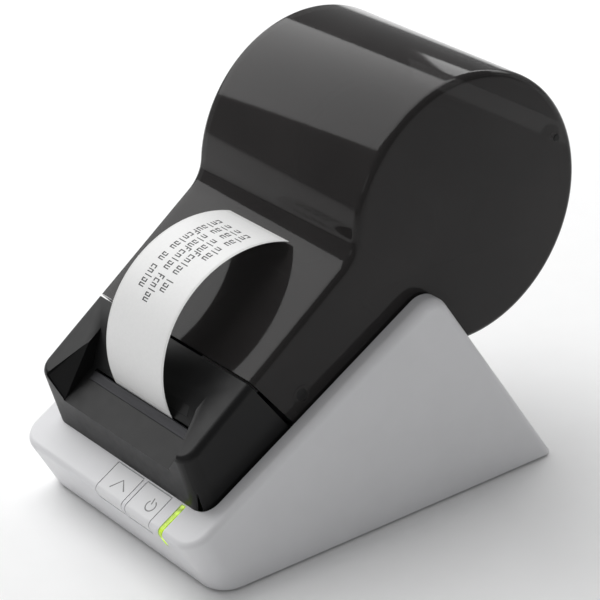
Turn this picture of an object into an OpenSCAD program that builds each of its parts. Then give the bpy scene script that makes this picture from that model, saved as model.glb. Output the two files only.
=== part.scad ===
// Thermal label printer with a hinged lid, a label roll on a spool and a geared platen drive.
// X is the width, Y runs from the front to the back, Z is up. The origin is under the centre, on the desk.

/* [Base] */
// Width of the base over the side wings
body_w = 118.4; // [114:0.2:122]
// Length of the base along the desk
base_len = 169.5; // [164:0.5:175]
// Slope of the control deck and the wing tops, in degrees
deck_slope = 30; // [29:0.5:31]
// Height at which the deck plane crosses the front foot line
deck_z = 31.3; // [30.5:0.1:32]
// Rounding of the base's upper edges
edge_r = 4; // [3:0.5:4.5]
// Rounding of the deck's front edge
front_r = 2.5; // [2:0.5:4]

/* [Lid and bezel] */
// Width of the black upper body
upper_w = 101; // [100:0.5:101.5]
// Slope of the bezel and lid front plane, in degrees
lid_slope = 36.5; // [36:0.25:37]
// Outer radius of the roll drum
drum_r = 55.6; // [55:0.1:56]
// Radius of the hollow between the front plane and the drum
neck_r = 16; // [12:1:20]
// Wall of the lid and the bezel
wall = 2.2; // [2:0.1:2.5]
// Gap between the lid and the bezel
seam_gap = 1.2; // [0.8:0.1:1.6]

/* [Label roll] */
// Width of the liner
liner_w = 38; // [30:1:38]
// Outer radius of the label roll
roll_r = 30; // [22:1:30]

/* [Drive] */
// Radius of the rubber platen
platen_r = 5.5; // [5.3:0.1:5.6]
// Gear module
gear_m = 0.6; // [0.6:0.1:0.6]

/* [Hidden] */
$fn = 96;
floor_z = 1;
half_base = body_w / 2;
half_upper = upper_w / 2;
wing_in = half_upper + 1;
corner_r = 10;
rear_corner_r = 5;
deck_corner_r = 10;
well_corner_r = 6;
well_front = 0.8;
window_back = 0;
window_floor = 19;
light_floor = 17;
feed_x = [-4.9, 12.9];
power_x = [14.8, 31.4];
light_x = [37.2, 40];
drum = [130.5, 118];
hinge = [175.7, 135.8];
seam = [24.3, 79];
bezel_front = [-6.8, 56];
deck_front = [-12.5, 24.1];
apex = [108.3, 93.8];
rear_foot = [base_len, 0];
apex_r = 10;
platen = [19, 48];
head_pivot = [19.5, 35.8];
idler = platen + 16.25 * dir(-50);
motor = idler + 12.65 * dir(-70);
strip_c = [44.5, 77];
latch = [47.6, 66.7];
latch_r = 3.6;
latch_depth = 0.5;
pin_r = 1.5;
pin_bore = 1.55;
shaft_r = 2;
spool_r = 5;
spool_end_r = 3.5;
hub_r = 12.4;
flange_r = 33;
core_r = 14.2;
bin_r = 55.2;
bin_in_r = 52.7;
port_x = [-12, 14];
port_half = 6;
port_low = 6.6;
port_high = 17.6;
along = dir(lid_slope);
up = dir(lid_slope + 90);
front_c = corner_centre(deck_front, [0, 0], apex, front_r);
apex_c = corner_centre(apex, deck_front, rear_foot, apex_r);
bezel_c = corner_centre(bezel_front, [0, 32], seam, 3);
mid_y = (front_c[0] - front_r + drum[0] + drum_r) / 2;

function dir(a) = [cos(a), sin(a)];
function unit(v) = v / norm(v);
// Centre of a rounding of radius r in the corner p between the points a and b
function corner_centre(p, a, b, r) =
    let (u = unit(a - p), v = unit(b - p), w = unit(u + v)) p + w * r / abs(cross(u, w));
function arc(c, r, a0, a1, n) = [for (i = [0:n]) c + r * dir(a0 + (a1 - a0) * i / n)];
function rev(l) = [for (i = [len(l) - 1:-1:0]) l[i]];
function wing_z(y) = deck_z + tan(deck_slope) * y;
// Point at a distance t along the lid plane from the seam, and n above it
function on_lid(t, n = 0) = seam + along * t + up * n;

// The parts are drawn from the base's front foot line and moved to the centre
module home() translate([0, -mid_y, 0]) children();
module span_x(x0, x1) translate([x0, 0, 0]) rotate([90, 0, 90]) linear_extrude(x1 - x0) children();
module along_x(half) span_x(-half, half) children();
module rod_x(x0, x1, c, r) span_x(x0, x1) translate(c) circle(r);
module torus(ring, tube) rotate_extrude($fn = 32) translate([ring, 0]) circle(tube, $fn = 32);
module block(lo, hi) translate(lo) cube(hi - lo);
module plate(hx, y0, y1, r, z0, z1) translate([0, 0, z0]) linear_extrude(z1 - z0) {
    translate([-hx, y0 + r]) square([2 * hx, y1 - y0 - 2 * r]);
    translate([r - hx, y0]) square([2 * (hx - r), y1 - y0]);
    for (x = [r - hx, hx - r], y = [y0 + r, y1 - r]) translate([x, y]) circle(r);
}
// ---- Base ----
module base_outer() hull() for (s = [-1, 1]) {
    translate([s * (half_base - corner_r), corner_r, floor_z]) cylinder(r = corner_r, h = 0.5, $fn = 32);
    translate([s * (half_base - rear_corner_r), base_len - rear_corner_r, floor_z])
        cylinder(r = rear_corner_r, h = 0.5, $fn = 32);
    translate([s * (half_base - deck_corner_r), front_c[0], front_c[1]]) rotate([deck_slope, 0, 0])
        translate([0, deck_corner_r - front_r, 0]) torus(deck_corner_r - front_r, front_r);
    translate([s * (half_base - edge_r), apex_c[0], apex_c[1]]) rotate([0, 90, 0])
        torus(apex_r - edge_r, edge_r);
}
module base_hollow() intersection() {
    along_x(half_base - 2.5) polygon([[2.8, -1], [-9.2, 23.1], [4, 30.7], [4, 19.6], [95, 72.1],
        [118.9, 72.1], [166.6, -1]]);
    hull() for (s = [-1, 1]) {
        translate([s * 46.5, 12.3, -1]) cylinder(r = 9.5, h = 0.1, $fn = 32);
        translate([s * 46.5, 0.3, 23]) cylinder(r = 9.5, h = 60, $fn = 32);
        translate([s * 46.5, 156.5, -1]) cylinder(r = 9.5, h = 0.1, $fn = 32);
        translate([s * 53, 120, 72]) cylinder(r = 3, h = 10, $fn = 32);
    }
}
module well() intersection() {
    along_x(wing_in) polygon([[0, 20], [0, 200], [220, 200], [220, 60.5], [126.5, 60.5], [115, 30]]);
    plate(wing_in, well_front, 300, well_corner_r, -10, 300);
}
screw_spots = [[-49, 14], [49, 14], [-49, 148], [49, 148]];
foot_spots = [[-42, 26], [42, 26], [-42, 134], [42, 134]];
module window(span, z0, gap)
    block([span[0] + gap, -30, z0 + gap * 1.4], [span[1] - gap, window_back - gap, 60]);
module base_shell() color("gainsboro") home() difference() {
    union() {
        difference() {
            base_outer();
            base_hollow();
            well();
            block([-31.5, 150, 3.4], [31.5, 200, 22.8]);
        }
        for (p = screw_spots) {
            translate([p[0], p[1], 3.5]) cylinder(r = 3.6, h = 12);
            block([p[0] > 0 ? p[0] : -56.5, p[1] - 1.5, 3.5], [p[0] > 0 ? 56.5 : p[0], p[1] + 1.5, 15.5]);
        }
    }
    for (p = screw_spots) translate([p[0], p[1], 3]) cylinder(r = 1.35, h = 10);
    window(feed_x, window_floor, 0);
    window(power_x, window_floor, 0);
    window(light_x, light_floor, 0);
}
module base_plate() color("dimgray") home() difference() {
    union() {
        plate(55, 3.6, 163, 9, floor_z, 3.2);
        for (x = [-36, 36], y = [66, 138]) translate([x, y, 3]) cylinder(r = 3, h = 2);
        for (x = [-30, 30], y = [12, 48]) translate([x, y, 3]) cylinder(r = 3.5, h = 3.5);
    }
    for (p = foot_spots) translate([p[0], p[1], floor_z - 1]) cylinder(r = 6.1, h = 1.5);
    for (p = screw_spots) translate([p[0], p[1], 0]) {
        cylinder(r = 1.35, h = 5);
        cylinder(r = 2.9, h = 2.4);
    }
}
module foot(p) color("black") home() translate([p[0], p[1], 0]) cylinder(r = 6, h = 1.5);
module base_screw(p) color("silver") home() translate([p[0], p[1], 0]) difference() {
    union() {
        translate([0, 0, 1.2]) cylinder(r = 2.6, h = 1.2);
        translate([0, 0, 2]) cylinder(r = 1.3, h = 9);
    }
    for (a = [0, 90]) rotate(a) translate([-1.6, -0.3, 1]) cube([3.2, 0.6, 0.8]);
}

// ---- Ports and boards ----
module port_panel() color("gainsboro") home() difference() {
    along_x(31.2) polygon([[146, 3.4], [165.5, 3.4], [153.2, 22.5], [146, 22.5]]);
    along_x(29.7) polygon([[147.5, 3], [170, 3], [170, 21], [147.5, 21]]);
    for (x = port_x)
        block([x - port_half - 0.2, 145, port_low - 0.3], [x + port_half + 0.2, 149, port_high + 0.2]);
}
module usb_socket() color("silver") home() difference() {
    block([port_x[0] - port_half, 134, port_low], [port_x[0] + port_half, 148, port_high]);
    block([port_x[0] - 4.8, 136, port_low + 1.2], [port_x[0] + 4.8, 150, port_high - 1.2]);
}
module dc_jack() color("black") home() difference() {
    block([port_x[1] - port_half, 134, port_low], [port_x[1] + port_half, 148, port_high]);
    translate([port_x[1], 150, (port_low + port_high) / 2]) rotate([90, 0, 0]) difference() {
        cylinder(r = 4, h = 12);
        translate([0, 0, -1]) cylinder(r = 1, h = 14);
    }
}
module main_board() color("darkgreen") home() block([-42, 60, 5], [42, 145, 6.5]);
module board_chips() color("black") home() {
    block([-12, 84, 6.5], [2, 98, 8]);
    block([10, 80, 6.5], [19, 91, 7.9]);
    block([-33, 72, 6.5], [-22, 79, 8.1]);
    for (x = [26, 35]) translate([x, 110, 6.5]) cylinder(r = 3.2, h = 9);
    block([-34, 108, 6.5], [-16, 113, 13]);
}

// ---- Deck controls ----
cap_in = [3.32, -0.97];
module deck_cap(span, z0) difference() {
    intersection() {
        base_outer();
        window(span, z0, 0.45);
    }
    translate([0, cap_in[0], cap_in[1]]) base_outer();
}
deck_in = dir(deck_slope - 90);
// Peg square to the deck, from one depth below it to another
module deck_peg(x, from, to, r) {
    q = board_at + deck_in * (from - 9);
    translate([x, q[0], q[1]]) rotate([deck_slope - 180, 0, 0]) cylinder(r = r, h = to - from);
}
module button(span) union() {
    deck_cap(span, window_floor);
    deck_peg((span[0] + span[1]) / 2, 2.2, 6.2, 1.5);
}
module button_feed() color("gainsboro") home() button(feed_x);
module button_power() color("gainsboro") home() button(power_x);
module light_pipe() color("greenyellow") home() deck_cap(light_x, light_floor);
board_dir = dir(deck_slope);
board_at = [-5, wing_z(-5)] + deck_in * 9;
module tilted_block(x0, x1, u0, u1, n0, n1) span_x(x0, x1) translate(board_at) rotate(deck_slope)
    translate([u0, n0]) square([u1 - u0, n1 - n0]);
module switch_board() color("darkgreen") home() tilted_block(-6, 46, -5, 9.5, -1.2, 0);
module tact_switches() color("black") home() for (w = [feed_x, power_x]) {
    mid = (w[0] + w[1]) / 2;
    tilted_block(mid - 3, mid + 3, -3, 3, 0, 2.1);
}
module status_led() color("lime") home() tilted_block(37.6, 39.6, -2, 1, 0, 1.2);

// ---- Bezel ----
pocket_depth = 9.3;
module bezel_outer() hull() {
    for (s = [-1, 1]) {
        translate([s * (half_upper - 7), bezel_c[0], bezel_c[1]]) rotate([lid_slope, 0, 0])
            translate([0, 4, 0]) torus(4, 3);
        translate([s * (half_upper - 7), 7.2, 31.8]) cylinder(r = 7, h = 0.4, $fn = 32);
        q = on_lid(-seam_gap / 2, -3);
        translate([s * (half_upper - 3), q[0], q[1]]) rotate([90 + lid_slope, 0, 0])
            cylinder(r = 3, h = 1, $fn = 32);
    }
    along_x(half_upper) polygon([on_lid(-seam_gap / 2, -38), on_lid(-1.6, -38), on_lid(-seam_gap / 2, -30)]);
}
// Hollow in the bezel's front plane, from its floor up, grown by g on all sides
module pocket(g) along_x(36 + g) polygon([
    on_lid(-60, -pocket_depth - g), on_lid(-24.4 + g, -pocket_depth - g), on_lid(-11.4 + g, 0.01),
    on_lid(-11.4 + g, 20), on_lid(-60, 20)]);
module pocket_flare(s, g) hull() {
    a = [36 + g, 9.8 + 2 * g, 68.7 + g];
    b = [36 + g, -3.5, 46.9 - g];
    d = [44 + g, -5.5, 55 - g];
    for (p = [a, b, d], k = [0, 1])
        translate([s * p[0], p[1] - 12 * k, p[2] + 8 * k]) cube(0.01, center = true);
}
module bezel() color([0.14, 0.14, 0.15]) home() difference() {
    intersection() {
        bezel_outer();
        union() {
            difference() {
                along_x(80) polygon([[-60, 0], [120, 0], [120, 200], [-60, 200]]);
                along_x(half_upper - wall) polygon([[2.6, 20], [-1 , 44], bezel_c + [0.5, -1.2],
                    on_lid(-wall - 1, -wall), on_lid(-wall - 1, -24), on_lid(10, -24), on_lid(10, -50)]);
            }
            pocket(1.8);
            for (s = [-1, 1]) pocket_flare(s, 1.8);
        }
    }
    pocket(0);
    for (s = [-1, 1]) pocket_flare(s, 0);
    along_x(33) polygon([on_lid(-25.6, -5), on_lid(-24.39, -5), on_lid(-24.39, -16), on_lid(-27.2, -16),
        on_lid(-27.2, -pocket_depth - 0.5), on_lid(-25.6, -pocket_depth - 0.5)]);
}
module tear_bar() color("silver") home() {
    span = 32;
    teeth = 64;
    q = on_lid(-25.9, 0.03 - pocket_depth);
    translate([0, q[0], q[1]]) rotate([lid_slope, 0, 0]) linear_extrude(0.5)
        polygon(concat([[span, -3.5], [span, 0]], [for (i = [0:teeth - 1]) each [
            [span - (i + 0.5) * 2 * span / teeth, 0.7],
            [span - (i + 1) * 2 * span / teeth, 0]]], [[-span, -3.5]]));
}

// ---- Print mechanism ----
module gear_2d(teeth, turn) {
    pitch = gear_m * teeth / 2;
    base = pitch * cos(20);
    root = pitch - 1.2 * gear_m;
    tip = pitch + 0.85 * gear_m;
    inv20 = tan(20) - 20 * PI / 180;
    function half_tooth(q) = let (a = acos(min(1, base / max(q, base))))
        90 / teeth - 0.07 / pitch * 180 / PI + (inv20 - (tan(a) - a * PI / 180)) * 180 / PI;
    steps = [root, max(base, root) + 0.01, (base + tip) / 2 + 0.1, tip];
    polygon([for (i = [0:teeth - 1]) each concat(
        [for (q = steps) q * dir(turn + 360 * i / teeth - half_tooth(q))],
        [for (q = rev(steps)) q * dir(turn + 360 * i / teeth + half_tooth(q))])]);
}
module gear(x0, x1, c, teeth, turn, bore) span_x(x0, x1) translate(c) difference() {
    gear_2d(teeth, turn);
    circle(bore);
}
// Turn of a gear of nb teeth that meshes with one of na teeth turned by t, seen along the angle b
function meshed(t, na, nb, b) = b + 180 + 180 / nb + (b - t) * na / nb;
turn_idler = meshed(0, 24, 30, -50);
turn_pinion = meshed(turn_idler, 30, 12, -70);
module mech_frame() color("silver") home() {
    for (s = [-1, 1]) span_x(s > 0 ? 35 : -36.2, s > 0 ? 36.2 : -35) difference() {
        polygon([[10, 7.5], [9, 50], [14, 55.5], [26, 57], [38, 52], [44, 44], [44, 7.5]]);
        translate(platen) circle(3.55);
        translate(head_pivot) circle(pin_bore);
        if (s > 0) translate(motor) circle(2.5);
        if (s > 0) translate(idler) circle(1.45);
    }
    block([-36.2, 9, 6.5], [36.2, 50, 7.6]);
}
module platen_roller() color([0.1, 0.1, 0.1]) home() difference() {
    rod_x(-34, 34, platen, platen_r);
    rod_x(-35, 35, platen, shaft_r + 0.02);
}
module platen_shaft() color("silver") home() rod_x(-38.5, 42, platen, shaft_r);
module platen_gear() color("white") home() gear(37.6, 41.4, platen, 24, 0, shaft_r + 0.02);
module bush(s) color("goldenrod") home() span_x(s > 0 ? 34.4 : -37.2, s > 0 ? 37.2 : -34.4)
    translate(platen) difference() {
        circle(3.5);
        circle(shaft_r + 0.06);
    }
module idler_gear() color("white") home() gear(37.6, 41.2, idler, 30, turn_idler, 1.5);
module idler_post() color("silver") home() {
    rod_x(35, 42.2, idler, 1.42);
    rod_x(42.2, 43, idler, 2.2);
}
module drive_motor() color("gray") home() difference() {
    union() {
        rod_x(8, 33, motor, 14);
        rod_x(33, 34.9, motor, 5);
    }
    rod_x(20, 40, motor, pin_bore);
}
module motor_shaft() color("silver") home() rod_x(22, 42, motor, pin_r);
module motor_pinion() color("white") home() gear(37.6, 41.4, motor, 12, turn_pinion, pin_r + 0.02);
module head_frame() translate(platen) rotate(225) children();
module print_head() color("ivory") home() along_x(30) head_frame() translate([5.85, -8]) square([1.5, 15]);
module head_heatsink() color("silver") home() difference() {
    union() {
        along_x(32) head_frame() translate([7.4, -8]) square([3, 16]);
        for (s = [-1, 1]) span_x(s > 0 ? 30.2 : -33.8, s > 0 ? 33.8 : -30.2) head_frame() {
            translate([7.4, 0]) square([4, 12]);
            translate([6.2, 7.4]) square([5.2, 4.8]);
        }
        for (k = [0:5]) along_x(32) head_frame() translate([10.3, -7.5 + 2.2 * k]) square([3.5, 0.9]);
    }
    rod_x(-40, 40, head_pivot, 1.56);
}
module head_pivot_pin() color("silver") home() rod_x(-37.5, 37.5, head_pivot, pin_r);
module paper_guide() color([0.16, 0.16, 0.17]) home() difference() {
    union() {
        along_x(44.8) polygon([[50, 49.3], [101.5, 69.4], [101.5, 67.8], [50, 47.7]]);
        along_x(34.5) polygon([[30, 41.7], [50.5, 49.5], [50.5, 47.9], [30, 40.1]]);
    }
    block([-4, 60, 40], [4, 66, 70]);
}
module label_sensor() color("black") home() block([-3.8, 60.2, 46], [3.8, 65.8, 53]);

// ---- Roll bay ----
module roll_bin() color([0.18, 0.18, 0.19]) home() difference() {
    union() {
        along_x(47.8) difference() {
            intersection() {
                translate(drum) circle(bin_r);
                polygon(concat([drum], [for (a = [-120, -80, -40, 0, 12]) drum + 90 * dir(a)]));
            }
            translate(drum) circle(bin_in_r);
        }
        for (x = [-47.5, 45.5]) span_x(x, x + 2) {
            intersection() {
                translate(drum) circle(bin_r);
                polygon([[0, 0], [260, 0], [260, 97], [0, 97]]);
            }
            polygon([[47, 40], [47, wing_z(47) + 6], [95, wing_z(95) + 5], [98, wing_z(95) + 7.5],
                [112, 97], [112, 22], [60, 22], [60, 30]]);
            polygon([[164, 94], [181, 94], [179.9, hinge[1]], [171.5, hinge[1]]]);
            translate(hinge) circle(4.2);
        }
    }
    rod_x(-60, 60, hinge, pin_bore);
}
module cradle(x0) color([0.16, 0.16, 0.17]) home() span_x(x0, x0 + 3) difference() {
    intersection() {
        translate(drum) circle(52.6);
        union() {
            polygon([[108, 60], [153, 60], [138, 112], [138, 124], [123, 124], [123, 112]]);
            translate(drum) circle(7.5);
        }
    }
    seat = spool_end_r + 0.08;
    translate(drum) circle(seat);
    polygon([drum + [-seat, 0], drum + [seat, 0], drum + [seat, 20], drum + [-seat, 20]]);
}
module spool_shaft() color([0.2, 0.2, 0.21]) home() {
    rod_x(-38, 38, drum, spool_r);
    rod_x(-42, -38, drum, spool_end_r);
    rod_x(38, 42, drum, spool_end_r);
    rod_x(-19.2, -4, drum, hub_r);
    rod_x(-20.7, -19.2, drum, flange_r);
}
module flange_sliding() color([0.2, 0.2, 0.21]) home() difference() {
    union() {
        rod_x(19.2, 20.7, drum, flange_r);
        rod_x(4, 19.2, drum, hub_r);
    }
    rod_x(0, 30, drum, spool_r + 0.05);
}
module roll_core() color("tan") home() difference() {
    rod_x(-liner_w / 2, liner_w / 2, drum, core_r);
    rod_x(-30, 30, drum, hub_r + 0.1);
}
module label_roll() color("white") home() difference() {
    rod_x(-liner_w / 2, liner_w / 2, drum, roll_r);
    rod_x(-30, 30, drum, core_r);
}
web_off = platen_r + 0.2;
roll_off = roll_r + 0.35;
web_run = drum - platen;
web_turn = atan2(web_run[1], web_run[0]) - acos(-(roll_off - web_off) / norm(web_run));
slot_out = strip_c + 40.4 * dir(213);
module label_web() color("white") home() along_x(liner_w / 2) polygon(concat(
    [drum + roll_off * dir(web_turn)], arc(platen, web_off, web_turn, 209 - 360, 12), [slot_out],
    [slot_out + 0.15 * dir(210)], rev(arc(platen, web_off + 0.15, web_turn, 209 - 360, 12)),
    [drum + (roll_off + 0.15) * dir(web_turn)]));
// Radius of the free strip's curl at the angle a
function curl(a) = 36.3 + 4 * pow((a - 135) / 77, 2) + 2.1 * pow(max(0, 135 - a) / 77, 2);
module curled(half, a0, a1, r0, r1) along_x(half) polygon(concat(
    [for (i = [0:40]) let (a = a0 + (a1 - a0) * i / 40) strip_c + (curl(a) + r0) * dir(a)],
    [for (i = [40:-1:0]) let (a = a0 + (a1 - a0) * i / 40) strip_c + (curl(a) + r1) * dir(a)]));
module label_strip() color("white") home() curled(liner_w / 2, 212.4, 57.6, 0, 0.2);
module label_face() color("white") home() curled(liner_w / 2 - 1, 206, 62, 0.25, 0.35);

// ---- Lid ----
neck_drop = (drum - seam) * up;
neck_t = (drum - seam) * along - sqrt(pow(drum_r + neck_r, 2) - pow(neck_r - neck_drop, 2));
neck_c = on_lid(neck_t, neck_r);
drum_start = atan2(neck_c[1] - drum[1], neck_c[0] - drum[0]);
lid_foot = drum + drum_r * dir(-137);
// Neck of the lid seen from the side, its top lowered by d
module neck_side(d) difference() {
    polygon([on_lid(-10, -d), on_lid(neck_t, -d), neck_c, drum, lid_foot, [35, wing_z(35) - 3]]);
    translate(neck_c) circle(neck_r + d);
}
module drum_solid(half, r, rim) translate([0, drum[0], drum[1]]) rotate([0, 90, 0]) rotate_extrude() {
    translate([0, rim - half]) square([r, 2 * (half - rim)]);
    translate([0, -half]) square([r - rim, 2 * half]);
    for (y = [rim - half, half - rim]) translate([r - rim, y]) circle(rim);
}
module lid() color([0.2, 0.2, 0.21]) home() difference() {
    union() {
        drum_solid(half_upper, drum_r, 3);
        along_x(half_upper) neck_side(0);
    }
    along_x(60) polygon([on_lid(seam_gap / 2, 40), on_lid(-60, 40), on_lid(-60, -60),
        on_lid(seam_gap / 2, -60)]);
    along_x(half_upper - wall) {
        translate(drum) circle(drum_r - wall);
        difference() {
            neck_side(wall);
            polygon([on_lid(-20, 5), on_lid(seam_gap / 2 + wall, 5), on_lid(seam_gap / 2 + wall, -12),
                on_lid(-20, -12)]);
        }
        polygon([drum, drum + 80 * dir(26), [300, 0], [20, 0], on_lid(0, -12), [70, 80]]);
    }
    rod_x(-60, 60, hinge, pin_bore);
    for (x = [-half_upper - 1, half_upper - latch_depth]) rod_x(x, x + 1 + latch_depth, latch, latch_r);
}
module hinge_pin(x0) color("silver") home() rod_x(x0, x0 + 6.6, hinge, pin_r);

base_shell();
base_plate();
foot(foot_spots[0]);  // foot_1
foot(foot_spots[1]);  // foot_2
foot(foot_spots[2]);  // foot_3
foot(foot_spots[3]);  // foot_4
base_screw(screw_spots[0]);  // base_screw_1
base_screw(screw_spots[1]);  // base_screw_2
base_screw(screw_spots[2]);  // base_screw_3
base_screw(screw_spots[3]);  // base_screw_4
port_panel();
usb_socket();
dc_jack();
main_board();
board_chips();
button_feed();
button_power();
light_pipe();
switch_board();
tact_switches();
status_led();
bezel();
tear_bar();
mech_frame();
platen_roller();
platen_shaft();
platen_gear();
bush(-1);  // bush_left
bush(1);  // bush_right
idler_gear();
idler_post();
drive_motor();
motor_shaft();
motor_pinion();
print_head();
head_heatsink();
head_pivot_pin();
paper_guide();
label_sensor();
roll_bin();
cradle(-41.5);  // cradle_left
cradle(38.5);  // cradle_right
spool_shaft();
flange_sliding();
roll_core();
label_roll();
label_web();
label_strip();
label_face();
hinge_pin(-50.1);  // hinge_pin_left
hinge_pin(43.5);  // hinge_pin_right
lid();
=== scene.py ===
from math import atan2, cos, pi, radians, sin, sqrt

import bmesh
import bpy
from mathutils import Matrix, Vector


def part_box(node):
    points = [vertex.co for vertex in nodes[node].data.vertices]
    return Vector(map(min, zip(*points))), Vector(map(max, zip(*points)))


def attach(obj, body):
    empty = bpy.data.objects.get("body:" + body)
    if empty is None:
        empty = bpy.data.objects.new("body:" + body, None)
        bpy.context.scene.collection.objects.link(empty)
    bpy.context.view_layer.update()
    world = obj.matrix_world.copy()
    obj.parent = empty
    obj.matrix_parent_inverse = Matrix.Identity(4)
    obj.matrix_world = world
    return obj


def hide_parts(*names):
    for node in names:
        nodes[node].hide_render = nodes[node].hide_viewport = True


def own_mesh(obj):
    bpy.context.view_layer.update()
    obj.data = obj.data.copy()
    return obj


# Looks of a thermal label printer: materials on the CAD nodes, a smooth lid, a printed label, icons on
# the keys, and a camera and light like the photo's.
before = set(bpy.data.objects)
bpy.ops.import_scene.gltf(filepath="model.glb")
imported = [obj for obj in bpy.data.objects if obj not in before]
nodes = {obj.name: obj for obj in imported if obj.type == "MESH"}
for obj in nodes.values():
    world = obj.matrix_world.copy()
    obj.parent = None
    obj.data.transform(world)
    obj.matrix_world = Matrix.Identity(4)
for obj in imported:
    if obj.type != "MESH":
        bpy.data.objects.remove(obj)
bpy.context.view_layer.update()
MM = 0.001

# The printer's side view is drawn in (y, z) from the base's front foot line, in mm, as the parts are:
# the roll drum, the lid's front plane with its seam, the neck between the two, and the deck.
ROLL_LOW, ROLL_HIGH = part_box("label_roll")
DRUM_Y = 130.5
DRUM_Z = 118.0
SHIFT = (ROLL_LOW[1] + ROLL_HIGH[1]) / 2 / MM - DRUM_Y
DRUM_R = 55.6
LID_SLOPE = radians(36.5)
SEAM = (24.3, 79.0)
LID_HALF = 50.5
NECK_R = 16.0
RIM_R = 3.0
DECK_SLOPE = radians(30)
DECK_Z = 31.3
SHARP_ANGLE = radians(40)


def point(x, y, z):
    """Place in the scene of a point given in mm from the base's front foot line."""
    return Vector((x * MM, (y + SHIFT) * MM, z * MM))


def on_lid(t, n=0.0):
    """Side view point t mm up the lid's front plane from the seam and n mm off it."""
    return (SEAM[0] + cos(LID_SLOPE) * t - sin(LID_SLOPE) * n,
            SEAM[1] + sin(LID_SLOPE) * t + cos(LID_SLOPE) * n)


# ---------------------------------------------------------------- materials
# Noise scales are in cells per metre, and bump depths in metres.
NOISE_MIDDLE = (0.3, 0.7)
RAMP_ENDS = (0.35, 0.65)
MOTTLE_SCALE = 60
SHEEN_SCALE = 220
GRAIN_SCALE = 3800
GRAIN_DEPTH = 0.00004
STREAK = (1, 60, 60)
STREAK_SCALE = 90.0
FIBRE_SCALE = 900
PAPER_GRAIN_SCALE = 2500
PAPER_GRAIN_DEPTH = 0.00003
TRACK_SCALE = 260.0
GLOW_SCALE = 260
HAZE_SCALE = 25
SMUDGE_SCALE = 60


def new_material(name, color, rough, **inputs):
    """Material with its node tree and shader; inputs name the shader's sockets."""
    mat = bpy.data.materials.new(name)
    mat.use_nodes = True
    shader = mat.node_tree.nodes["Principled BSDF"]
    shader.inputs["Base Color"].default_value = (*color, 1)
    shader.inputs["Roughness"].default_value = rough
    for key, value in inputs.items():
        shader.inputs[key.replace("_", " ")].default_value = value
    return mat, mat.node_tree, shader


def add_node(tree, kind, **values):
    """Shader node with some of its inputs set."""
    node = tree.nodes.new(kind)
    for key, value in values.items():
        node.inputs[key].default_value = value
    return node


def object_coords(tree):
    return tree.nodes.new("ShaderNodeTexCoord").outputs["Object"]


def noise(tree, scale, detail=3.0):
    node = add_node(tree, "ShaderNodeTexNoise", Scale=scale, Detail=detail)
    tree.links.new(object_coords(tree), node.inputs["Vector"])
    return node.outputs["Fac"]


def spread(tree, source, low, high):
    """The source's middle range spread over low to high."""
    node = add_node(tree, "ShaderNodeMapRange")
    node.inputs["From Min"].default_value = NOISE_MIDDLE[0]
    node.inputs["From Max"].default_value = NOISE_MIDDLE[1]
    node.inputs["To Min"].default_value = low
    node.inputs["To Max"].default_value = high
    tree.links.new(source, node.inputs["Value"])
    return node.outputs["Result"]


def tint(tree, source, color_a, color_b):
    """The source turned into a blend from one colour to the other."""
    node = add_node(tree, "ShaderNodeValToRGB")
    node.color_ramp.elements[0].position = RAMP_ENDS[0]
    node.color_ramp.elements[1].position = RAMP_ENDS[1]
    node.color_ramp.elements[0].color = (*color_a, 1)
    node.color_ramp.elements[1].color = (*color_b, 1)
    tree.links.new(source, node.inputs["Fac"])
    return node.outputs["Color"]


def bump(tree, shader, source, strength, distance):
    node = add_node(tree, "ShaderNodeBump", Strength=strength, Distance=distance)
    tree.links.new(source, node.inputs["Height"])
    tree.links.new(node.outputs["Normal"], shader.inputs["Normal"])


def plastic(name, color, rough, grain=0.05, variation=0.03, **inputs):
    """Moulded plastic: fine spark-eroded grain, faint mottling in colour and sheen."""
    mat, tree, shader = new_material(name, color, rough, **inputs)
    darker = [c * (1 - variation) for c in color]
    lighter = [min(1, c * (1 + variation)) for c in color]
    tree.links.new(tint(tree, noise(tree, MOTTLE_SCALE), darker, lighter), shader.inputs["Base Color"])
    sheen = noise(tree, SHEEN_SCALE)
    tree.links.new(spread(tree, sheen, rough * 0.9, rough * 1.1), shader.inputs["Roughness"])
    if grain:
        bump(tree, shader, noise(tree, GRAIN_SCALE, detail=1.5), grain, GRAIN_DEPTH)
    return mat


def metal(name, color, rough):
    """Brushed or turned metal, with streaks along one direction."""
    mat, tree, shader = new_material(name, color, rough, Metallic=1.0)
    mapping = add_node(tree, "ShaderNodeMapping")
    mapping.inputs["Scale"].default_value = STREAK
    tree.links.new(object_coords(tree), mapping.inputs["Vector"])
    grain = add_node(tree, "ShaderNodeTexNoise", Scale=STREAK_SCALE, Detail=3.0)
    tree.links.new(mapping.outputs["Vector"], grain.inputs["Vector"])
    streaks = grain.outputs["Fac"]
    tree.links.new(spread(tree, streaks, rough * 0.8, rough * 1.3), shader.inputs["Roughness"])
    tree.links.new(tint(tree, streaks, [c * 0.93 for c in color], color), shader.inputs["Base Color"])
    return mat


def paper_material(name, color, rough):
    """Paper with faint fibre mottling."""
    mat, tree, shader = new_material(name, color, rough)
    fibres = tint(tree, noise(tree, FIBRE_SCALE), [c * 0.975 for c in color], color)
    tree.links.new(fibres, shader.inputs["Base Color"])
    bump(tree, shader, noise(tree, PAPER_GRAIN_SCALE), 0.08, PAPER_GRAIN_DEPTH)
    return mat


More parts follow.
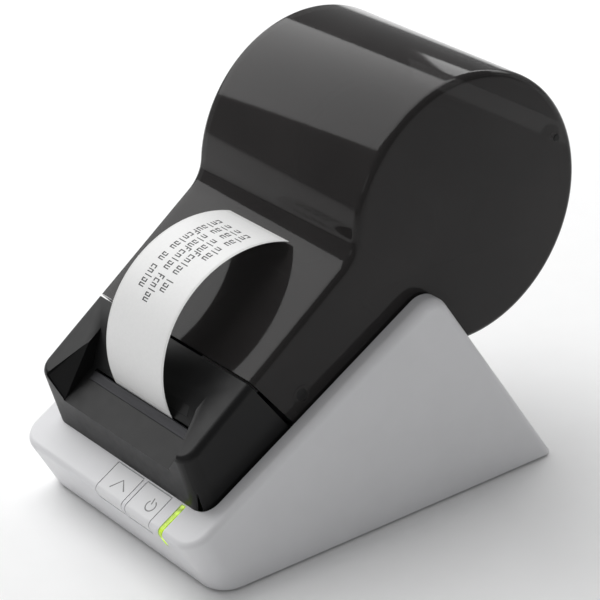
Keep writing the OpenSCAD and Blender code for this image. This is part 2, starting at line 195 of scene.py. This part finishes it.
def board_material(name):
    """Green circuit board with lighter tracks under the lacquer."""
    mat, tree, shader = new_material(name, (0.02, 0.12, 0.05), 0.35)
    tracks = add_node(tree, "ShaderNodeTexBrick", Scale=TRACK_SCALE)
    tree.links.new(object_coords(tree), tracks.inputs["Vector"])
    tracks.inputs["Color1"].default_value = (0.02, 0.13, 0.05, 1)
    tracks.inputs["Color2"].default_value = (0.025, 0.16, 0.06, 1)
    tracks.inputs["Mortar"].default_value = (0.05, 0.25, 0.09, 1)
    tree.links.new(tracks.outputs["Color"], shader.inputs["Base Color"])
    return mat


def smoked_material(name):
    """Dark smoked plastic that lets a little light through."""
    mat, tree, shader = new_material(name, (0.022, 0.020, 0.020), 0.07, IOR=1.5, Alpha=0.90,
                                     Specular_IOR_Level=0.22)
    haze = tint(tree, noise(tree, HAZE_SCALE), (0.020, 0.0185, 0.0183), (0.025, 0.023, 0.0227))
    tree.links.new(haze, shader.inputs["Base Color"])
    tree.links.new(spread(tree, noise(tree, SMUDGE_SCALE), 0.06, 0.085), shader.inputs["Roughness"])
    return mat


def glow_material(name):
    """Light pipe lit green from behind, brighter in patches."""
    mat, tree, shader = new_material(name, (0.30, 0.42, 0.03), 0.25, Emission_Strength=0.8)
    patches = noise(tree, GLOW_SCALE)
    body_color = tint(tree, patches, (0.22, 0.30, 0.02), (0.36, 0.52, 0.04))
    tree.links.new(body_color, shader.inputs["Base Color"])
    glow_color = tint(tree, patches, (0.13, 0.20, 0.0), (0.62, 0.92, 0.05))
    tree.links.new(glow_color, shader.inputs["Emission Color"])
    return mat


SHELL = plastic("shell_plastic", (0.74, 0.74, 0.755), 0.42, grain=0.06, variation=0.012)
SHELL_KEY = plastic("key_plastic", (0.75, 0.75, 0.76), 0.40, grain=0.05, variation=0.012)
BLACK = plastic("bezel_plastic", (0.008, 0.008, 0.0082), 0.34, grain=0.12, variation=0.08,
                Specular_IOR_Level=0.2)
DARK = plastic("bin_plastic", (0.022, 0.022, 0.023), 0.45, grain=0.10, variation=0.08)
SPOOL = plastic("spool_plastic", (0.05, 0.05, 0.052), 0.35, grain=0.06, variation=0.06)
GREY = plastic("underside_plastic", (0.09, 0.09, 0.092), 0.5, grain=0.12, variation=0.05)
RUBBER = plastic("rubber_black", (0.012, 0.012, 0.012), 0.72, grain=0.2, variation=0.1)
NYLON = plastic("nylon", (0.72, 0.70, 0.64), 0.38, grain=0.03, variation=0.02)
CERAMIC = plastic("ceramic_glaze", (0.62, 0.58, 0.48), 0.18, grain=0.02, variation=0.04)
SMOKED = smoked_material("smoked_plastic")
GLOW = glow_material("green_light")
STEEL = metal("steel_sheet", (0.62, 0.62, 0.63), 0.3)
DARK_STEEL = metal("blackened_steel", (0.03, 0.03, 0.032), 0.4)
ALUMINIUM = metal("aluminium_cast", (0.70, 0.70, 0.72), 0.38)
BRASS = metal("brass_bush", (0.66, 0.50, 0.22), 0.28)
PAPER = paper_material("paper_liner", (0.80, 0.80, 0.79), 0.6)
LABEL = paper_material("label_paper", (0.86, 0.86, 0.855), 0.5)
CARD = paper_material("core_cardboard", (0.42, 0.30, 0.18), 0.8)
BOARD = board_material("circuit_board")
INK = paper_material("thermal_ink", (0.035, 0.035, 0.038), 0.55)
ICON = plastic("engraved_icon", (0.19, 0.19, 0.19), 0.5, grain=0.0, variation=0.02)

NODE_LOOKS = {
    "base_shell": SHELL, "port_panel": SHELL, "button_feed": SHELL_KEY, "button_power": SHELL_KEY,
    "base_plate": GREY, "bezel": BLACK, "roll_bin": DARK, "cradle_left": SPOOL, "cradle_right": SPOOL,
    "paper_guide": DARK, "spool_shaft": SPOOL, "flange_sliding": SPOOL, "label_sensor": BLACK,
    "dc_jack": BLACK, "board_chips": BLACK, "tact_switches": BLACK, "main_board": BOARD,
    "switch_board": BOARD, "light_pipe": GLOW, "status_led": GLOW, "tear_bar": DARK_STEEL,
    "usb_socket": STEEL, "mech_frame": STEEL, "platen_shaft": STEEL, "idler_post": STEEL,
    "motor_shaft": STEEL, "head_pivot_pin": STEEL, "hinge_pin_left": STEEL, "hinge_pin_right": STEEL,
    "drive_motor": ALUMINIUM, "head_heatsink": ALUMINIUM, "print_head": CERAMIC,
    "platen_roller": RUBBER, "platen_gear": NYLON, "idler_gear": NYLON, "motor_pinion": NYLON,
    "bush_left": BRASS, "bush_right": BRASS, "roll_core": CARD, "label_roll": PAPER,
    "label_web": PAPER, "label_strip": PAPER, "label_face": LABEL, "lid": SMOKED,
}
for number in (1, 2, 3, 4):
    NODE_LOOKS[f"foot_{number}"] = RUBBER
    NODE_LOOKS[f"base_screw_{number}"] = STEEL


WELD_REACH = 0.000002
FLAT_ANGLE = radians(0.4)
BEVEL_ANGLE = radians(38)
BEVEL_SEGMENTS = 2


def soften(obj, width):
    """Eases sharp edges by a width in mm and evens out the shading."""
    weld = obj.modifiers.new("weld", "WELD")
    weld.merge_threshold = WELD_REACH
    flats = obj.modifiers.new("flats", "DECIMATE")
    flats.decimate_type = "DISSOLVE"
    flats.angle_limit = FLAT_ANGLE
    bevel = obj.modifiers.new("bevel", "BEVEL")
    bevel.width = width * MM
    bevel.segments = BEVEL_SEGMENTS
    bevel.limit_method = "ANGLE"
    bevel.angle_limit = BEVEL_ANGLE
    obj.data.shade_smooth()
    normals = obj.modifiers.new("normals", "WEIGHTED_NORMAL")
    normals.keep_sharp = False


# Bevel widths in mm; the other nodes have the plain one, and 0 leaves a node's edges as they are.
PLAIN_BEVEL = 0.12
BEVELS = {"base_shell": 0.5, "bezel": 0.4, "button_feed": 0.35, "button_power": 0.35,
          "roll_bin": 0.3, "spool_shaft": 0.3, "flange_sliding": 0.3, "cradle_left": 0.4,
          "cradle_right": 0.4, "paper_guide": 0.2, "base_plate": 0.3, "port_panel": 0.3,
          "label_web": 0.0, "label_strip": 0.0, "label_face": 0.0, "tear_bar": 0.0}
for name, node in nodes.items():
    node.data.materials.clear()
    node.data.materials.append(NODE_LOOKS[name])
    width = BEVELS.get(name, PLAIN_BEVEL)
    if width:
        soften(node, width)


# ---------------------------------------------------------------- mesh helpers
DOUBLES_REACH = 0.000001


def make_piece(name, mesh, mat, body, smooth=True):
    """Object from a mesh, with its material, riding on a body."""
    obj = bpy.data.objects.new(name, mesh)
    bpy.context.scene.collection.objects.link(obj)
    mesh.materials.append(mat)
    if smooth:
        mesh.shade_smooth()
    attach(obj, body)
    return obj


def mesh_from(name, verts, faces):
    """Mesh with doubled points joined and its faces turned outwards."""
    mesh = bpy.data.meshes.new(name)
    mesh.from_pydata(verts, [], faces)
    build = bmesh.new()
    build.from_mesh(mesh)
    bmesh.ops.remove_doubles(build, verts=build.verts, dist=DOUBLES_REACH)
    bmesh.ops.recalc_face_normals(build, faces=build.faces)
    build.to_mesh(mesh)
    build.free()
    return mesh


# ---------------------------------------------------------------- lid
# The front edge's distance from the seam, the angles round the drum of the rear edge and of the side
# discs' end at the wing, the side plates' front corner, and the rim's inner edge below the drum's face.
WALL = 2.2
LID_SHARP_ANGLE = radians(35)
LID_SEAM = 0.6
LID_REAR = radians(26)
LID_FOOT = radians(-137)
LID_TOE = (44.8, 54.2)
RIM_LIP = 0.2
ARC_STEPS = 56
PLANE_STEPS = 14
NECK_STEPS = 16
DRUM_STEPS = 96
RIM_STEPS = 8


def lid_path(seam_t, rear_angle):
    """Outer line of the lid from the seam over the neck and the drum, with its outward normals."""
    rel_t = (DRUM_Y - SEAM[0]) * cos(LID_SLOPE) + (DRUM_Z - SEAM[1]) * sin(LID_SLOPE)
    rel_n = (DRUM_Z - SEAM[1]) * cos(LID_SLOPE) - (DRUM_Y - SEAM[0]) * sin(LID_SLOPE)
    neck_t = rel_t - sqrt((DRUM_R + NECK_R) ** 2 - (NECK_R - rel_n) ** 2)
    neck = on_lid(neck_t, NECK_R)
    start = atan2(neck[1] - DRUM_Z, neck[0] - DRUM_Y)
    plane_up = (-sin(LID_SLOPE), cos(LID_SLOPE))
    line = []
    for k in range(PLANE_STEPS + 1):
        line.append((on_lid(seam_t + (neck_t - seam_t) * k / PLANE_STEPS), plane_up))
    first, last = LID_SLOPE - pi / 2, start - pi
    for k in range(1, NECK_STEPS + 1):
        a = first + (last - first) * k / NECK_STEPS
        line.append(((neck[0] + NECK_R * cos(a), neck[1] + NECK_R * sin(a)), (-cos(a), -sin(a))))
    for k in range(1, DRUM_STEPS + 1):
        a = start + (rear_angle - start) * k / DRUM_STEPS
        line.append(((DRUM_Y + DRUM_R * cos(a), DRUM_Z + DRUM_R * sin(a)), (cos(a), sin(a))))
    return line


def lid_mesh():
    """Curved smoked cover with rounded rims, its full side discs and its inner faces."""
    path = lid_path(LID_SEAM, LID_REAR)
    verts, faces = [], []

    def add(points):
        verts.extend(point(*p) for p in points)
        return list(range(len(verts) - len(points), len(verts)))

    # columns across the width, each an x and an inset along the normal
    turn = [radians(90 * k / RIM_STEPS) for k in range(RIM_STEPS + 1)]
    left = [(-LID_HALF + RIM_R * (1 - cos(a)), RIM_R * (1 - sin(a))) for a in turn]
    outer = left + [(-x, d) for x, d in reversed(left)]
    inner_x = LID_HALF - WALL
    shell = [add([(x, y - ny * d, z - nz * d) for x, d in outer]) for (y, z), (ny, nz) in path]
    lining = [add([(x, y - ny * WALL, z - nz * WALL) for x in (-inner_x, inner_x)])
              for (y, z), (ny, nz) in path]
    for sheet in (shell, lining):
        for low, high in zip(sheet, sheet[1:]):
            for c in range(len(low) - 1):
                faces.append((low[c], low[c + 1], high[c + 1], high[c]))
    faces.append(tuple(shell[0] + [lining[0][1], lining[0][0]]))

    # side plates: the disc below the shell with its rounded rim, then the edge along the wing
    arc = [LID_REAR + (LID_FOOT - LID_REAR) * k / ARC_STEPS for k in range(ARC_STEPS + 1)]
    foot = (DRUM_Y + DRUM_R * cos(LID_FOOT), DRUM_Z + DRUM_R * sin(LID_FOOT))
    rear_lips = []
    for side in (-1, 1):
        edge, inner = (0, 0) if side < 0 else (len(outer) - 1, 1)
        rim = []
        for a in arc:
            profile = [(LID_HALF - RIM_R * (1 - cos(t)), DRUM_R - RIM_R * (1 - sin(t))) for t in turn]
            profile.append((inner_x, DRUM_R - RIM_LIP))
            rim.append(add([(side * x, DRUM_Y + r * cos(a), DRUM_Z + r * sin(a)) for x, r in profile]))
        for low, high in zip(rim, rim[1:]):
            for c in range(len(low) - 1):
                faces.append((low[c], low[c + 1], high[c + 1], high[c]))
        out_foot, out_toe = add([(side * LID_HALF, *foot), (side * LID_HALF, *LID_TOE)])
        in_toe = add([(side * inner_x, *LID_TOE)])[0]
        outside = [row[edge] for row in shell] + [row[0] for row in rim[1:]] + [out_foot, out_toe]
        faces.append(tuple(outside))
        inside = [row[inner] for row in lining] + [row[-1] for row in rim] + [in_toe]
        faces.append(tuple(inside))
        faces.append(tuple(rim[-1] + [out_foot]))
        faces.append((out_foot, rim[-1][-1], in_toe, out_toe))
        faces.append((out_toe, in_toe, lining[0][inner], shell[0][edge]))
        rear_lips.append(rim[0][-1])
    middle = len(left)
    faces.append((shell[-1][middle - 1], shell[-1][middle], rear_lips[1], lining[-1][1], lining[-1][0],
                  rear_lips[0]))
    return mesh_from("lid_cover", verts, faces)


lid = make_piece("lid_cover", lid_mesh(), SMOKED, "lid")
lid.data.set_sharp_from_angle(angle=LID_SHARP_ANGLE)
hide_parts("lid")


TURN_STEPS = 40


def side_turning(name, y, z, side, profile, mat, slot):
    """Small round detail turned about X on the lid's side; profile holds (radius, height off the side)."""
    verts, faces = [], []
    for k in range(TURN_STEPS):
        a = 2 * pi * k / TURN_STEPS
        for r, h in profile:
            verts.append(point(side * (LID_HALF + h), y + r * cos(a), z + r * sin(a)))
    count = len(profile)
    for k in range(TURN_STEPS):
        here, there = k * count, (k + 1) % TURN_STEPS * count
        for c in range(count):
            d = (c + 1) % count
            faces.append((here + c, here + d, there + d, there + c))
    piece = make_piece(name, mesh_from(name, verts, faces), mat, "lid")
    piece.data.set_sharp_from_angle(angle=SHARP_ANGLE)


# Places in the side view, and profiles from the axis outwards
LATCH = (47.6, 66.7)
HINGE = (175.7, 135.8)
RING = ((3.2, -0.05), (3.3, 0.12), (3.6, 0.2), (3.9, 0.12), (4.0, -0.05))
LATCH_DISC = ((0.01, -0.05), (0.01, 0.05), (2.3, 0.05), (2.4, -0.05))
HINGE_DISC = ((0.01, -0.05), (0.01, 0.25), (1.3, 0.25), (1.6, -0.05))
for side, side_name in ((-1, "left"), (1, "right")):
    side_turning(f"latch_ring_{side_name}", *LATCH, side, RING, SMOKED, "smoked_plastic")
    side_turning(f"latch_disc_{side_name}", *LATCH, side, LATCH_DISC, BLACK, "black_plastic")
    side_turning(f"hinge_disc_{side_name}", *HINGE, side, HINGE_DISC, BLACK, "black_plastic")


# ---------------------------------------------------------------- label print
# The strip curls round a centre in the side view, from the slot to its free end, in degrees. Half
# widths and the lifts of each layer's top are in mm.
STRIP_C = (44.5, 77.0)
STRIP_STEP = 2.5
STRIP_ENDS = (212.4, 57.6)
FACE_ENDS = (206, 62)
STRIP_HALF = 19
FACE_HALF = 18
STRIP_TOP = 0.19
FACE_TOP = 0.27
INK_TOP = 0.285
CURL_R = 36.3
CURL_MIDDLE = 135
CURL_SPAN = 77
CURL_OPENS = 4
CURL_OPENS_MORE = 2.1


def curl(angle):
    """Radius of the free strip's curl, in mm: least in the middle, and most at the free end."""
    off = (angle - CURL_MIDDLE) / CURL_SPAN
    return CURL_R + CURL_OPENS * off ** 2 + CURL_OPENS_MORE * max(0.0, -off) ** 2


def on_strip(angle, x, lift):
    """Point at an angle in degrees along the strip's inner face, lifted off it by mm."""
    r = curl(angle) + lift
    return point(x, STRIP_C[0] + r * cos(radians(angle)), STRIP_C[1] + r * sin(radians(angle)))


def strip_patch(name, half, ends, low, high, mat):
    """Thin curved sheet along the strip, from one angle to another and between two lifts."""
    a0, a1 = ends
    steps = int(abs(a1 - a0) / STRIP_STEP)
    verts, faces = [], []
    for k in range(steps + 1):
        a = a0 + (a1 - a0) * k / steps
        verts += [on_strip(a, -half, low), on_strip(a, half, low)]
        verts += [on_strip(a, half, high), on_strip(a, -half, high)]
    for k in range(steps):
        for c in range(4):
            p, q = 4 * k + c, 4 * k + (c + 1) % 4
            faces.append((p, q, q + 4, p + 4))
    faces += [(0, 1, 2, 3), (4 * steps + 3, 4 * steps + 2, 4 * steps + 1, 4 * steps)]
    piece = make_piece(name, mesh_from(name, verts, faces), mat, "case")
    piece.data.set_sharp_from_angle(angle=SHARP_ANGLE)
    return piece


def press_flat(piece):
    """Gives the piece its own copy of its mesh; its shape stays as it is."""
    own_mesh(piece)


strip = strip_patch("label_strip_paper", STRIP_HALF, STRIP_ENDS, 0.0, STRIP_TOP, PAPER)
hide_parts("label_strip")
press_flat(strip)
face = strip_patch("label_face_paper", FACE_HALF, FACE_ENDS, STRIP_TOP, FACE_TOP, LABEL)
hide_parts("label_face")
press_flat(face)

# Four lines of print along the strip: unreadable letter shapes in word-sized groups. Each shape is a
# list of bars (start along the line, start above it, end along, end above) in a unit letter box. A
# line has its place across the strip and the letter counts of its words.
GLYPHS = (
    ((0, 0, 0.28, 1), (0.28, 0.84, 1, 1), (0.28, 0.42, 0.8, 0.58)),
    ((0, 0, 0.28, 0.72), (0.28, 0, 1, 0.16), (0.72, 0.16, 1, 0.72)),
    ((0, 0.56, 1, 0.72), (0.72, 0, 1, 0.56), (0, 0, 0.72, 0.16), (0, 0.16, 0.28, 0.4)),
    ((0.36, 0, 0.64, 1),),
    ((0, 0, 0.28, 0.72), (0.28, 0.56, 1, 0.72), (0.72, 0, 1, 0.56)),
    ((0, 0, 1, 0.16), (0, 0.16, 0.28, 0.56), (0, 0.56, 1, 0.72)),
)
GLYPH_STRIDE = 5
LETTER_TURN = 3.3
LETTER_SHARE = 0.72
LETTER_TALL = 4.3
PRINT_START = 75.0
PRINT_LINES = [(8.6, (5, 4)), (2.6, (4, 10, 3)), (-3.4, (4, 10, 6)), (-9.4, (11, 2, 5))]
BOX_FACES = ((0, 1, 2, 3), (7, 6, 5, 4), (0, 4, 5, 1), (1, 5, 6, 2), (2, 6, 7, 3), (3, 7, 4, 0))
verts, faces = [], []
for x, words in PRINT_LINES:
    angle = PRINT_START
    for word in words:
        for mark in range(word):
            for u0, v0, u1, v1 in GLYPHS[(mark * GLYPH_STRIDE + word) % len(GLYPHS)]:
                first = len(verts)
                for u in (u0, u1):
                    turned = angle + LETTER_TURN * LETTER_SHARE * u
                    for v, lift in ((v0, FACE_TOP), (v1, FACE_TOP), (v1, INK_TOP), (v0, INK_TOP)):
                        verts.append(on_strip(turned, x + LETTER_TALL * v, lift))
                faces += [tuple(first + k for k in quad) for quad in BOX_FACES]
            angle += LETTER_TURN
        angle += LETTER_TURN
ink = make_piece("print_marks", mesh_from("print_marks", verts, faces), INK, "case", smooth=False)
press_flat(ink)


# ---------------------------------------------------------------- icons on the keys
ICON_LIFTS = (-0.06, 0.03)
FEED_STROKE = 0.6
POWER_STROKE = 0.55


def deck_point(x, u, lift):
    """Point on the deck plane, u mm down its slope from y = 0, and a lift above it."""
    y = -u * cos(DECK_SLOPE) - sin(DECK_SLOPE) * lift
    z = DECK_Z - u * sin(DECK_SLOPE) + cos(DECK_SLOPE) * lift
    return point(x, y, z)


def deck_ribbon(name, line, width, body):
    """Thin flat stroke along a line of (x, u) points on the deck."""
    verts, faces = [], []
    count = len(line)
    for k, (x, u) in enumerate(line):
        before = line[max(k - 1, 0)]
        after = line[min(k + 1, count - 1)]
        dx, du = after[0] - before[0], after[1] - before[1]
        size = sqrt(dx * dx + du * du)
        nx, nu = -du / size * width / 2, dx / size * width / 2
        for side in (-1, 1):
            for lift in ICON_LIFTS:
                verts.append(deck_point(x + side * nx, u + side * nu, lift))
    for k in range(count - 1):
        for c, d in ((0, 1), (1, 3), (3, 2), (2, 0)):
            faces.append((4 * k + c, 4 * k + d, 4 * k + 4 + d, 4 * k + 4 + c))
    last = 4 * (count - 1)
    faces += [(0, 1, 3, 2), (last, last + 2, last + 3, last + 1)]
    piece = make_piece(name, mesh_from(name, verts, faces), ICON, body, smooth=False)


deck_ribbon("icon_feed", [(1.4, 10.6), (4.8, 5.4), (9.2, 9.2)], FEED_STROKE, "feed_button")
# The power sign is a ring with a gap round its stem.
POWER_ICON = (25.6, 7.6)
POWER_R = 2.4
ring = []
for a in range(20, 311, 10):
    ring.append((POWER_ICON[0] + POWER_R * sin(radians(a)), POWER_ICON[1] - POWER_R * cos(radians(a))))
deck_ribbon("icon_power_ring", ring, POWER_STROKE, "power_button")
stem = [(POWER_ICON[0] - 1.0, 4.3), (POWER_ICON[0] - 0.3, 7.0)]
deck_ribbon("icon_power_stem", stem, POWER_STROKE, "power_button")


# ---------------------------------------------------------------- bezel details
PANEL_HALF = 27
PANEL_TOP = (-12.6, -1.6)
PANEL_FOOT = (-21.6, -7.6)
PANEL_THICKNESS = (0, -0.35, 0.2)
SLAB_EASE = 0.15


def slab(name, corners, thickness, mat, body):
    """Thin plate from four corners and a thickness vector, all in mm."""
    base = [point(*c) for c in corners]
    step = Vector(thickness) * MM
    verts = base + [v + step for v in base]
    faces = [(3, 2, 1, 0), (4, 5, 6, 7)]
    faces += [(k, (k + 1) % 4, (k + 1) % 4 + 4, k + 4) for k in range(4)]
    piece = make_piece(name, mesh_from(name, verts, faces), mat, body)
    ease = piece.modifiers.new("ease", "BEVEL")
    ease.width = SLAB_EASE * MM
    ease.segments = 2
    piece.data.shade_flat()


# Shallow panel on the back wall of the label's pocket
top, foot = on_lid(*PANEL_TOP), on_lid(*PANEL_FOOT)
corners = [(-PANEL_HALF, *top), (PANEL_HALF, *top), (PANEL_HALF, *foot), (-PANEL_HALF, *foot)]
slab("pocket_back_panel", corners, PANEL_THICKNESS, BLACK, "case")


# ---------------------------------------------------------------- camera, light, floor
# The camera's place, sensor and lens are in mm, its far limit and the floor's half width in metres.
CAMERA_AT = (743.2, -473.0, 534.4)
CAMERA_LOOK = (-0.716448, 0.538994, -0.442931)
CAMERA_UP = (-0.336729, 0.288878, 0.896194)
SENSOR_WIDTH = 36
FOCAL_LENGTH = 157.0
FAR_CLIP = 20
FLOOR_HALF = 6


def aim(obj, direction, up):
    """Turns a camera or a light, which look along their own -Z, in a direction."""
    z = -Vector(direction).normalized()
    x = Vector(up).cross(z).normalized()
    y = z.cross(x)
    obj.matrix_world = Matrix.Translation(obj.location) @ Matrix((x, y, z)).transposed().to_4x4()


camera = bpy.data.objects.new("camera", bpy.data.cameras.new("camera"))
bpy.context.scene.collection.objects.link(camera)
camera.location = point(*CAMERA_AT)
camera.data.sensor_width = SENSOR_WIDTH
camera.data.lens = FOCAL_LENGTH
camera.data.clip_end = FAR_CLIP
aim(camera, CAMERA_LOOK, CAMERA_UP)
bpy.context.scene.camera = camera


def area_light(name, at, target, size, power):
    """White rectangular light at a place in metres, aimed at a target."""
    lamp = bpy.data.lights.new(name, "AREA")
    lamp.shape = "RECTANGLE"
    lamp.size, lamp.size_y = size
    lamp.energy = power
    obj = bpy.data.objects.new(name, lamp)
    bpy.context.scene.collection.objects.link(obj)
    obj.location = at
    aim(obj, Vector(target) - Vector(at), (0, 0, 1))


area_light("top_left_soft", (-1.5, -0.1, 1.8), (-0.6, 0, 0), (2.6, 3.2), 66)
area_light("back_soft", (-0.7, 1.9, 1.3), (0, 0, 0.1), (2.2, 0.5), 9)
area_light("front_fill", (0.2, -2.2, 1.0), (0, 0, 0.1), (1.2, 0.6), 1.5)

world = bpy.data.worlds.new("studio")
bpy.context.scene.world = world
world.use_nodes = True
background = world.node_tree.nodes["Background"]
background.inputs["Color"].default_value = (0.93, 0.935, 0.94, 1)
background.inputs["Strength"].default_value = 0.30
bpy.context.scene.view_settings.view_transform = "Standard"

floor_corners = [(sx * FLOOR_HALF, sy * FLOOR_HALF, 0) for sx, sy in ((-1, -1), (1, -1), (1, 1), (-1, 1))]
floor_mesh = mesh_from("floor", floor_corners, [(0, 1, 2, 3)])
floor = bpy.data.objects.new("floor", floor_mesh)
bpy.context.scene.collection.objects.link(floor)
floor_mesh.materials.append(plastic("floor_paper", (0.93, 0.93, 0.93), 0.7, grain=0.0, variation=0.004))
